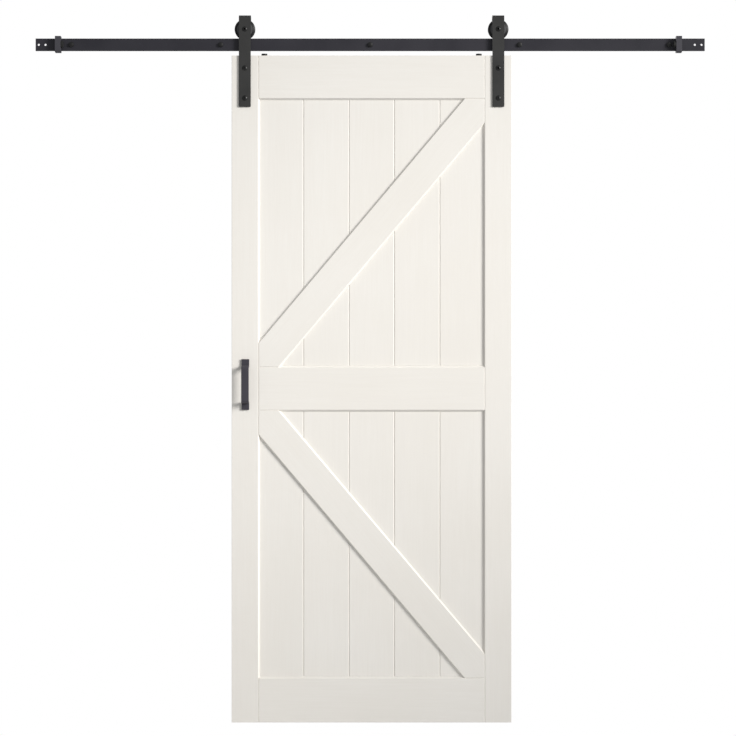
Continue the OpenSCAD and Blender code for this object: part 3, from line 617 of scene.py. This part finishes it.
# %% The lathe helper
def profile_line(bm, centre, points):
    """A line of edges through [radius, distance along Y] points, drawn on the +X side."""
    verts = [bm.verts.new(centre + Vector((r, y, 0))) for r, y in points]
    edges = [bm.edges.new(pair) for pair in zip(verts, verts[1:])]
    return verts + edges


def turned(bm, centre, points, steps=64):
    """The profile spun once round the axis along Y through the centre."""
    bmesh.ops.spin(
        bm, geom=profile_line(bm, centre, points), cent=centre, axis=(0, 1, 0),
        angle=2 * pi, steps=steps, use_merge=True,
    )


def rounded(bm, width, segments=2):
    """The turned shape with its poles merged and its sharp edges rounded."""
    bmesh.ops.remove_doubles(bm, verts=bm.verts, dist=SAME_POINT)
    bmesh.ops.recalc_face_normals(bm, faces=bm.faces)
    bevelled(bm, width, segments)


# %% [markdown]
# ## The wheels
#
# A hanger wheel is a thick disc with a groove that sits over the rail's edge. Its sides are flat
# out to about three quarters of its radius and then fall away to a thin flange. The profile is
# spun, and the flange's edges and the groove's floor are rounded, because a lathe tool has a nose.

# %% Turn both wheels
RUNNING_GAP = 0.3 * MM          # between the tread and the rail's edge
SIDE_GAP = 0.6 * MM             # between the groove's walls and the rail's sides, at the tread
GROOVE_FLARE = 1.0 * MM         # how much wider each side of the groove is at the rim
RIM_WALL = 1.9 * MM             # the flange's thickness at the rim
FACE_INSET = 8.5 * MM           # from the rim to where the flat face starts
BORE_GAP = 0.02 * MM            # round the bearing
SHOULDER = 2 * MM               # the step that the bearing sits against
SEAT = 4 * MM                   # half the bearing's width
RING_WIDTH, RING_DEPTH = 1.1 * MM, 0.7 * MM
RAIL_HALF = (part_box("track_rail")[1].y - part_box("track_rail")[0].y) / 2


def radius_along_x(node):
    low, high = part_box(node)
    return (high.x - low.x) / 2


for side in SIDES:
    wheel_low, wheel_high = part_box(f"{side}_wheel")
    rim, half = radius_along_x(f"{side}_wheel"), (wheel_high.y - wheel_low.y) / 2
    bearing = radius_along_x(f"{side}_bearing_outer_ring")
    bore, front_bore = bearing + BORE_GAP, bearing - SHOULDER
    tread = AXLES[side].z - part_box("track_rail")[1].z - RUNNING_GAP
    groove = RAIL_HALF + SIDE_GAP
    mouth = groove + GROOVE_FLARE
    tip = mouth + RIM_WALL
    face = rim - FACE_INSET
    bm = bmesh.new()
    turned(bm, AXLES[side], [
        (front_bore, -SEAT), (front_bore, -half), (face, -half), (rim, -tip), (rim, -mouth),
        (tread, -groove), (tread, groove), (rim, mouth), (rim, tip), (face, half), (bore, half),
        (bore, SEAT + RING_WIDTH), (bore + RING_DEPTH, SEAT + RING_WIDTH),
        (bore + RING_DEPTH, SEAT), (bore, SEAT), (bore, -SEAT), (front_bore, -SEAT),
    ], steps=96)
    rounded(bm, 0.4 * MM)
    wheel = finished(f"{side}_turned_wheel", bm, f"{side}_wheel", WHEEL_PAINTED_LIGHT_AND_SHADE[side])
    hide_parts(f"{side}_wheel")
    print(side, "wheel:", len(wheel.data.polygons), "faces")

# %% [markdown]
# ## Hexagon heads, nuts and sockets
#
# A forged hexagon head is a hexagon cut by a cone: the flats end in arcs, and the top is round.
# The top is a circle and the corners come from a subdivided hexagon, each of whose points drops
# with its distance from the axis. Bridging the two loops makes the cone, and an extrusion the
# flats.

# %% Loops of edges
AROUND = 48
TOUCHING = 0.01 * MM  # points nearer than this count as one


def at(centre, y):
    """The point at y on the axis along Y through the centre."""
    return centre + Vector((0, y, 0))


def loop(bm, centre, radius, sides=AROUND):
    """A closed loop of AROUND points in the plane across Y: a circle, or a hexagon."""
    before = set(bm.edges)
    ring = bmesh.ops.create_circle(bm, segments=sides, radius=radius)["verts"]
    turn = Matrix.Translation(centre) @ Matrix.Rotation(radians(90), 4, "X")
    bmesh.ops.transform(bm, matrix=turn, verts=ring)
    edges = [e for e in bm.edges if e not in before]
    if sides < AROUND:
        bmesh.ops.subdivide_edges(bm, edges=edges, cuts=AROUND // sides - 1)
        edges = [e for e in bm.edges if e not in before]
    return edges


def verts_of(edges):
    return list({v for e in edges for v in e.verts})


def joined(bm, first, second):
    """A band of faces between two loops. In one plane such a band can come out twisted."""
    bmesh.ops.bridge_loops(bm, edges=first + second)


def extruded(bm, edges):
    """The vertices of a new loop that is extruded from the edges but hasn't moved yet."""
    made = bmesh.ops.extrude_edge_only(bm, edges=edges)["geom"]
    return [g for g in made if isinstance(g, bmesh.types.BMVert)]


def edges_of(verts):
    return [e for e in {e for v in verts for e in v.link_edges} if all(v in verts for v in e.verts)]


def from_axis(vert, centre):
    """How far the vertex lies from the axis along Y: across it, upwards, and straight."""
    offset = vert.co - centre
    return offset.x, offset.z, sqrt(offset.x ** 2 + offset.z ** 2)


def drawn(bm, edges, reach):
    """The loop extruded along Y by reach; returns the new loop."""
    verts = extruded(bm, edges)
    bmesh.ops.translate(bm, verts=verts, vec=(0, reach, 0))
    return edges_of(verts)


def narrowed(bm, edges, centre, radius):
    """The loop extruded inwards, in its own plane, to a circle; returns the new loop."""
    verts = extruded(bm, edges)
    for vert in verts:
        across, up, reach = from_axis(vert, centre)
        vert.co.x = centre.x + across * radius / reach
        vert.co.z = centre.z + up * radius / reach
    return edges_of(verts)


def level_out(bm, edges, y):
    """The loop extruded along Y until every point is at y; returns the new loop."""
    verts = extruded(bm, edges)
    for vert in verts:
        vert.co.y = y
    return edges_of(verts)


def capped(bm, edges):
    bmesh.ops.contextual_create(bm, geom=edges)


# %% The hexagon helper
FORGED_SLOPE = radians(30)
FLAT_TO_CORNER = cos(radians(30))
TOP_INSET = 0.2 * MM


def cone_cut_hexagon(bm, centre, across_flats):
    """The top circle, and behind it the hexagon loop, cut by a cone that opens along +Y."""
    top_radius = across_flats / 2 - TOP_INSET
    circle = loop(bm, centre, top_radius)
    hexagon = loop(bm, centre, across_flats / 2 / FLAT_TO_CORNER, sides=6)
    for vert in verts_of(hexagon):
        vert.co.y += (from_axis(vert, centre)[2] - top_radius) * tan(FORGED_SLOPE)
    joined(bm, circle, hexagon)
    return circle, hexagon


# %% [markdown]
# ## Cutting a thread
#
# A thread is one tooth of profile, one pitch long, spun about the axis while it moves along it.
# After a full turn the end of each tooth meets the start of the next, and merging joins them into
# one continuous screw. Towards the point the radius shrinks, which makes the gimlet tip that lets
# a lag bolt pull itself into the timber.

# %% The thread helper
THREAD_STEPS = 24
TOOTH = ((0, 0), (0, 0.42), (1, 0.64), (1, 0.74), (0, 1.0))  # height, share of the pitch
THINNEST = 0.04  # the share of the radius that is left at a point


def thread(bm, centre, root, crest, pitch, start, length, point=0.0):
    """A screw thread along Y from start, of the given length, the last part drawn to a point."""
    turns = round(length / pitch)
    line = profile_line(bm, centre, [
        (crest if height else root, start + share * pitch) for height, share in TOOTH
    ])
    before = set(bm.verts) - set(line)
    bmesh.ops.spin(
        bm, geom=line, cent=centre, axis=(0, 1, 0), dvec=(0, pitch / THREAD_STEPS, 0),
        angle=2 * pi * turns, steps=THREAD_STEPS * turns,
    )
    fresh = [v for v in bm.verts if v not in before]
    bmesh.ops.remove_doubles(bm, verts=fresh, dist=TOUCHING)
    end = centre.y + start + (turns + 1) * pitch
    for vert in (v for v in bm.verts if v not in before):
        if point and vert.co.y > end - point:
            keep = max((end - vert.co.y) / point, THINNEST)
            vert.co.x = centre.x + (vert.co.x - centre.x) * keep
            vert.co.z = centre.z + (vert.co.z - centre.z) * keep
    rims = [e for e in bm.edges if e.is_boundary and all(v not in before for v in e.verts)]
    bmesh.ops.holes_fill(bm, edges=rims, sides=0)


# %% [markdown]
# ## The lag bolts that hold the rail
#
# A lag bolt has a forged hexagon head, a plain shank that passes through the rail and its spacer,
# and a coarse wood thread for the wall. Nothing hides the thread here, because the wall is left
# out, so it is cut as real geometry and not as bump.

# %% Five lag bolts
BOLT_LOW, BOLT_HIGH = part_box("lag_bolts")
LAG_FLATS = (BOLT_HIGH.z - BOLT_LOW.z) * FLAT_TO_CORNER
LAG_PITCH = BOLT_HIGH.y / 15
LAG_SHANK, LAG_ROOT, LAG_CREST = 3.6 * MM, 2.9 * MM, 4 * MM
LAG_POINT = 9 * MM
INTO_THREAD = 0.2 * MM
SEAT_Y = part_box("lag_washers")[0].y
for number in WALL_BOLTS:
    axis = Vector((middle(f"spacer_{number}").x, 0, 0))
    bm = bmesh.new()
    circle, hexagon = cone_cut_hexagon(bm, at(axis, BOLT_LOW.y), LAG_FLATS)
    capped(bm, circle)
    base = level_out(bm, hexagon, SEAT_Y)
    neck = loop(bm, at(axis, SEAT_Y), LAG_SHANK)
    joined(bm, base, neck)
    capped(bm, drawn(bm, neck, -SEAT_Y + INTO_THREAD))
    thread(
        bm, axis, LAG_ROOT, LAG_CREST, LAG_PITCH, start=0, length=BOLT_HIGH.y - LAG_PITCH,
        point=LAG_POINT,
    )
    bolt = finished(f"lag_bolt_{number}", bm, "track", BOLT_BLACK)
    if number == 1:
        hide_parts("lag_bolts")
        print("lag bolt:", len(bolt.data.polygons), "faces")

# %% [markdown]
# ## Domed bolts in the straps
#
# The straps are fixed with low domed bolts that have a hexagon socket. The dome is part of a ball,
# spun from its rim up to a small flat, and the flat is bridged to a hexagon, which is then pushed
# in for the socket.

# %% The domed bolt helper
BAND = 0.3 * MM     # the straight edge under a dome
LAND = 0.35 * MM    # the flat round a socket
DOME_STEPS = 10


def domed_head(bm, centre, seat, radius, height, socket, depth, outward=-1):
    """A dome that stands out of the seat plane, with a hexagon socket in its middle; returns the
    open rim. outward is the sign of Y that leads out of the seat."""
    ball = (radius ** 2 + height ** 2) / (2 * height)
    land = socket / 2 / FLAT_TO_CORNER + LAND
    rim_angle = asin(min(radius / ball, 1))
    land_angle = asin(land / ball)
    profile = [(radius, seat)]
    for step in range(DOME_STEPS + 1):
        angle = rim_angle + (land_angle - rim_angle) * step / DOME_STEPS
        rise = ball * cos(angle) - (ball - height)
        y = seat + outward * (BAND + rise * (height - BAND) / height)
        profile.append((ball * sin(angle), y))
    turned(bm, centre, profile, steps=AROUND)
    bmesh.ops.remove_doubles(bm, verts=bm.verts, dist=SAME_POINT)

    def above_seat(vert):
        return abs(vert.co.y - centre.y - seat)

    open_edges = [e for e in bm.edges if e.is_boundary]
    front = max(above_seat(v) for e in open_edges for v in e.verts)
    crown = [
        e for e in open_edges if all(abs(above_seat(v) - front) < TOUCHING for v in e.verts)
    ]
    rim = [e for e in open_edges if e not in crown]
    hexagon = loop(bm, at(centre, seat + outward * front), land - LAND, sides=6)
    joined(bm, crown, hexagon)
    capped(bm, drawn(bm, hexagon, -outward * depth))
    return rim


# %% The plain shank helper
TIP_LENGTH, TIP_SCALE = 0.6 * MM, 0.85


def plain_shank(bm, rim, centre, seat, radius, length):
    """The flat under a head, and a round shank with a small chamfer at its end."""
    neck = loop(bm, at(centre, seat), radius)
    joined(bm, rim, neck)
    tip = drawn(bm, drawn(bm, neck, length), TIP_LENGTH)
    bmesh.ops.scale(
        bm, vec=(TIP_SCALE, 1, TIP_SCALE), verts=verts_of(tip),
        space=Matrix.Translation(-at(centre, seat + length)),
    )
    capped(bm, tip)


# %% Four hanger bolts
BOLTS_LOW, BOLTS_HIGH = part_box("hanger_bolts")
HEAD_R = radius_along_x("left_axle_bolt")
STRAP_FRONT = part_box("left_hanger")[0].y
HEAD_H = STRAP_FRONT - BOLTS_LOW.y
SOCKET, SOCKET_DEPTH = 6 * MM, 2.6 * MM
HANGER_SHANK = 4 * MM
for side in SIDES:
    for place, z in (("upper", BOLTS_HIGH.z - HEAD_R), ("lower", BOLTS_LOW.z + HEAD_R)):
        axis = Vector((AXLES[side].x, 0, z))
        length = BOLTS_HIGH.y - STRAP_FRONT - TIP_LENGTH
        bm = bmesh.new()
        rim = domed_head(bm, axis, STRAP_FRONT, HEAD_R, HEAD_H, SOCKET, SOCKET_DEPTH)
        plain_shank(bm, rim, axis, STRAP_FRONT, HANGER_SHANK, length)
        bolt = finished(f"{side}_{place}_bolt", bm, "door", BOLT_BLACK)
        if side == "left" and place == "upper":
            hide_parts("hanger_bolts")
print("hanger bolts done, head radius", round(HEAD_R / MM, 2), "mm")

# %% [markdown]
# ## Axle bolts and their nuts
#
# The axle bolt is the same domed bolt, longer, with a fine thread on the end that the nut takes.
# Only the last turns show behind the nut. The nut is chamfered on both sides, as a nut that can go
# on either way round is, so its front half is modelled and then mirrored.

# %% Axle bolts with a cut end
AXLE_PITCH = 1.5 * MM
AXLE_THREAD = 7 * AXLE_PITCH
AXLE_SHANK, AXLE_ROOT, AXLE_CREST = 4.95 * MM, 4.2 * MM, 4.98 * MM
for side in SIDES:
    thread_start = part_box(f"{side}_axle_bolt")[1].y - AXLE_THREAD
    axis = Vector((AXLES[side].x, 0, AXLES[side].z))
    bm = bmesh.new()
    rim = domed_head(bm, axis, STRAP_FRONT, HEAD_R, HEAD_H, SOCKET, SOCKET_DEPTH)
    plain_shank(bm, rim, axis, STRAP_FRONT, AXLE_SHANK, thread_start - STRAP_FRONT)
    thread(
        bm, axis, AXLE_ROOT, AXLE_CREST, AXLE_PITCH, start=thread_start,
        length=AXLE_THREAD - AXLE_PITCH,
    )
    bolt = finished(f"{side}_axle", bm, "door", BOLT_BLACK)
    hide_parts(f"{side}_axle_bolt")
print("axle bolts done, with", round(AXLE_THREAD / AXLE_PITCH), "turns each")

# %% Axle nuts
NUT_LOW, NUT_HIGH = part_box("axle_nuts")
NUT_FLATS = (NUT_HIGH.z - NUT_LOW.z) * FLAT_TO_CORNER
NUT_BORE = 5.03 * MM
HALFWAY = (NUT_LOW.y + NUT_HIGH.y) / 2
for side in SIDES:
    front = Vector((AXLES[side].x, NUT_LOW.y, AXLES[side].z))
    bm = bmesh.new()
    circle, hexagon = cone_cut_hexagon(bm, front, NUT_FLATS)
    level_out(bm, hexagon, HALFWAY)
    drawn(bm, narrowed(bm, circle, front, NUT_BORE), HALFWAY - NUT_LOW.y)
    bmesh.ops.mirror(
        bm, geom=bm.verts[:] + bm.edges[:] + bm.faces[:], axis="Y",
        matrix=Matrix.Translation((0, -HALFWAY, 0)), merge_dist=TOUCHING,
    )
    nut = finished(f"{side}_axle_nut", bm, "door", BOLT_BLACK)
    if side == "left":
        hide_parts("axle_nuts")
print("nuts done,", round(NUT_FLATS / MM, 1), "mm across the flats")

# %% [markdown]
# ## Barrel nuts behind the door
#
# Each hanger bolt screws into a barrel nut from behind. What shows is a flat round head with a
# hexagon socket, so it is the domed head again with hardly any dome, facing the other way.

# %% Four barrel nuts
BARREL_LOW, BARREL_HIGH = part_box("hanger_barrel_nuts")
DOOR_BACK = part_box("left_stile")[1].y
BARREL_HEAD = BARREL_HIGH.x - AXLES["right"].x
BARREL_H = BARREL_HIGH.y - DOOR_BACK
BARREL_SHANK = 6 * MM
BARREL_SOCKET, BARREL_SOCKET_DEPTH = 8 * MM, 2 * MM
for side in SIDES:
    for place, z in (
        ("upper", BARREL_HIGH.z - BARREL_HEAD), ("lower", BARREL_LOW.z + BARREL_HEAD),
    ):
        axis = Vector((AXLES[side].x, 0, z))
        bm = bmesh.new()
        rim = domed_head(
            bm, axis, DOOR_BACK, BARREL_HEAD, BARREL_H, BARREL_SOCKET, BARREL_SOCKET_DEPTH,
            outward=1,
        )
        neck = loop(bm, at(axis, DOOR_BACK), BARREL_SHANK)
        joined(bm, rim, neck)
        capped(bm, drawn(bm, neck, BARREL_LOW.y - DOOR_BACK))
        nut = finished(f"{side}_{place}_barrel_nut", bm, "door", BOLT_BLACK)
        if side == "left" and place == "upper":
            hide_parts("hanger_barrel_nuts")
print("barrel nuts done, head radius", round(BARREL_HEAD / MM, 2), "mm")

# %% [markdown]
# ## Bumpers, disks and washers
#
# The bumper is a plug of rubber with a rounded face and a shallow dish in its middle, which a
# mould leaves. The anti-jump disks are thick nylon buttons, countersunk for their screws. The
# washers are plain rings. All are turned, so each is a profile; the bumpers and disks are turned
# at the origin first and then stood in their places.

# %% Rubber bumpers
ORIGIN = Vector((0, 0, 0))
PLUG_LENGTH, PLUG_RADIUS = 8 * MM, 4 * MM
DISH_DEPTH = 0.7 * MM
DISH_RIM, DISH_FLOOR = 0.62, 0.55  # shares of the bumper's radius
for side, towards in (("left", 1), ("right", -1)):
    low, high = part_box(f"{side}_bumper")
    stop_low, stop_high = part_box(f"{side}_stop")
    stop_face, face = (stop_high.x, high.x) if towards > 0 else (stop_low.x, low.x)
    reach = abs(face - stop_face)
    radius = (high.z - low.z) / 2
    bm = bmesh.new()
    turned(bm, ORIGIN, [
        (0, -PLUG_LENGTH), (PLUG_RADIUS, -PLUG_LENGTH), (PLUG_RADIUS, 0), (radius, 0),
        (radius, reach), (radius * DISH_RIM, reach), (radius * DISH_FLOOR, reach - DISH_DEPTH),
        (0, reach - DISH_DEPTH),
    ])
    rounded(bm, 1.3 * MM, segments=4)
    quarter = Matrix.Rotation(radians(-90 * towards), 4, "Z")
    centre = Vector((stop_face, (low.y + high.y) / 2, (low.z + high.z) / 2))
    bmesh.ops.transform(bm, matrix=Matrix.Translation(centre) @ quarter, verts=bm.verts)
    bumper = finished(f"{side}_rubber_bumper", bm, "track", RUBBER)
    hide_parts(f"{side}_bumper")
    print(side, "bumper reaches", round(reach / MM, 1), "mm out of its stop")

# %% Nylon disks on the top of the door
SCREW_HOLE, COUNTERSINK, SINK_DEPTH = 2.6 * MM, 5.1 * MM, 2.5 * MM
for side in SIDES:
    node = f"{side}_anti_jump_disk"
    low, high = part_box(node)
    radius = radius_along_x(node)
    thick = high.z - low.z
    bm = bmesh.new()
    turned(bm, ORIGIN, [
        (SCREW_HOLE, 0), (radius, 0), (radius, thick), (COUNTERSINK, thick),
        (SCREW_HOLE, thick - SINK_DEPTH), (SCREW_HOLE, 0),
    ])
    rounded(bm, 0.5 * MM, segments=3)
    place = Matrix.Translation((middle(node).x, middle(node).y, low.z))
    upright = Matrix.Rotation(radians(90), 4, "X")
    bmesh.ops.transform(bm, matrix=place @ upright, verts=bm.verts)
    disk = finished(f"{side}_nylon_disk", bm, "door", NYLON)
    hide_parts(node)
    print(side, "disk:", round(thick / MM, 1), "mm thick")

# %% Washers under the lag bolts
WASHER_LOW, WASHER_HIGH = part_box("lag_washers")
WASHER_HOLE = 4.4 * MM
for number in WALL_BOLTS:
    axis = Vector((middle(f"spacer_{number}").x, 0, 0))
    radius = WASHER_HIGH.z
    bm = bmesh.new()
    turned(bm, axis, [
        (WASHER_HOLE, WASHER_LOW.y), (radius, WASHER_LOW.y), (radius, WASHER_HIGH.y),
        (WASHER_HOLE, WASHER_HIGH.y), (WASHER_HOLE, WASHER_LOW.y),
    ])
    rounded(bm, 0.3 * MM)
    washer = finished(f"washer_{number}", bm, "track", BOLT_BLACK)
    if number == 1:
        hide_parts("lag_washers")
print("washers done, radius", round(WASHER_HIGH.z / MM, 1), "mm")

# %% [markdown]
# ## Pieces that keep their CAD mesh
#
# The bearings, sleeves, rings, dowels and small screws sit inside other pieces or show only as a
# sliver. Their CAD meshes already have the right shape, so they only get their finish.

# %% Finishes for the nodes that stay
KEPT = {
    "frame_dowels": BEECH, "axle_sleeves": BEARING_STEEL, "disk_screws": BOLT_BLACK,
    "handle_screws": BOLT_BLACK, "stop_set_screws": BOLT_BLACK,
}
for side in SIDES:
    for part in ("inner_ring", "outer_ring", "shields", "balls"):
        KEPT[f"{side}_bearing_{part}"] = BEARING_STEEL
    KEPT[f"{side}_ball_cage"] = BRASS
    KEPT[f"{side}_retaining_ring"] = BOLT_BLACK
for node, material in KEPT.items():
    mesh = frame["nodes"][node].data
    mesh.materials.clear()
    mesh.materials.append(material)
print("kept nodes:", len(KEPT))

# %% [markdown]
# ## The floor
#
# The door hangs on its rail, so the floor carries nothing. It lies below the slab as a wide pale
# disc, made from a circle.

# %% A pale floor
FLOOR_RADIUS = 2.0
FLOOR_DROP = 0.32
FLOOR_DARK, FLOOR_LIGHT = (0.60, 0.60, 0.60), (0.64, 0.64, 0.64)

bm = bmesh.new()
bmesh.ops.create_circle(bm, cap_ends=True, segments=96, radius=FLOOR_RADIUS)
bmesh.ops.translate(bm, verts=bm.verts, vec=(0, 0, LOW.z - FLOOR_DROP))
floor_mesh = bpy.data.meshes.new("floor")
bm.to_mesh(floor_mesh)
bm.free()
floor_finish = Finish("floor_white", shine=0.2)
cloud = floor_finish.noise(floor_finish.placed(), 1.5)
floor_finish.colour(floor_finish.blend(cloud, FLOOR_DARK, FLOOR_LIGHT))
floor_mesh.materials.append(floor_finish.material)
floor = bpy.data.objects.new("floor", floor_mesh)
bpy.context.scene.collection.objects.link(floor)
print("floor", FLOOR_DROP, "m below the slab")
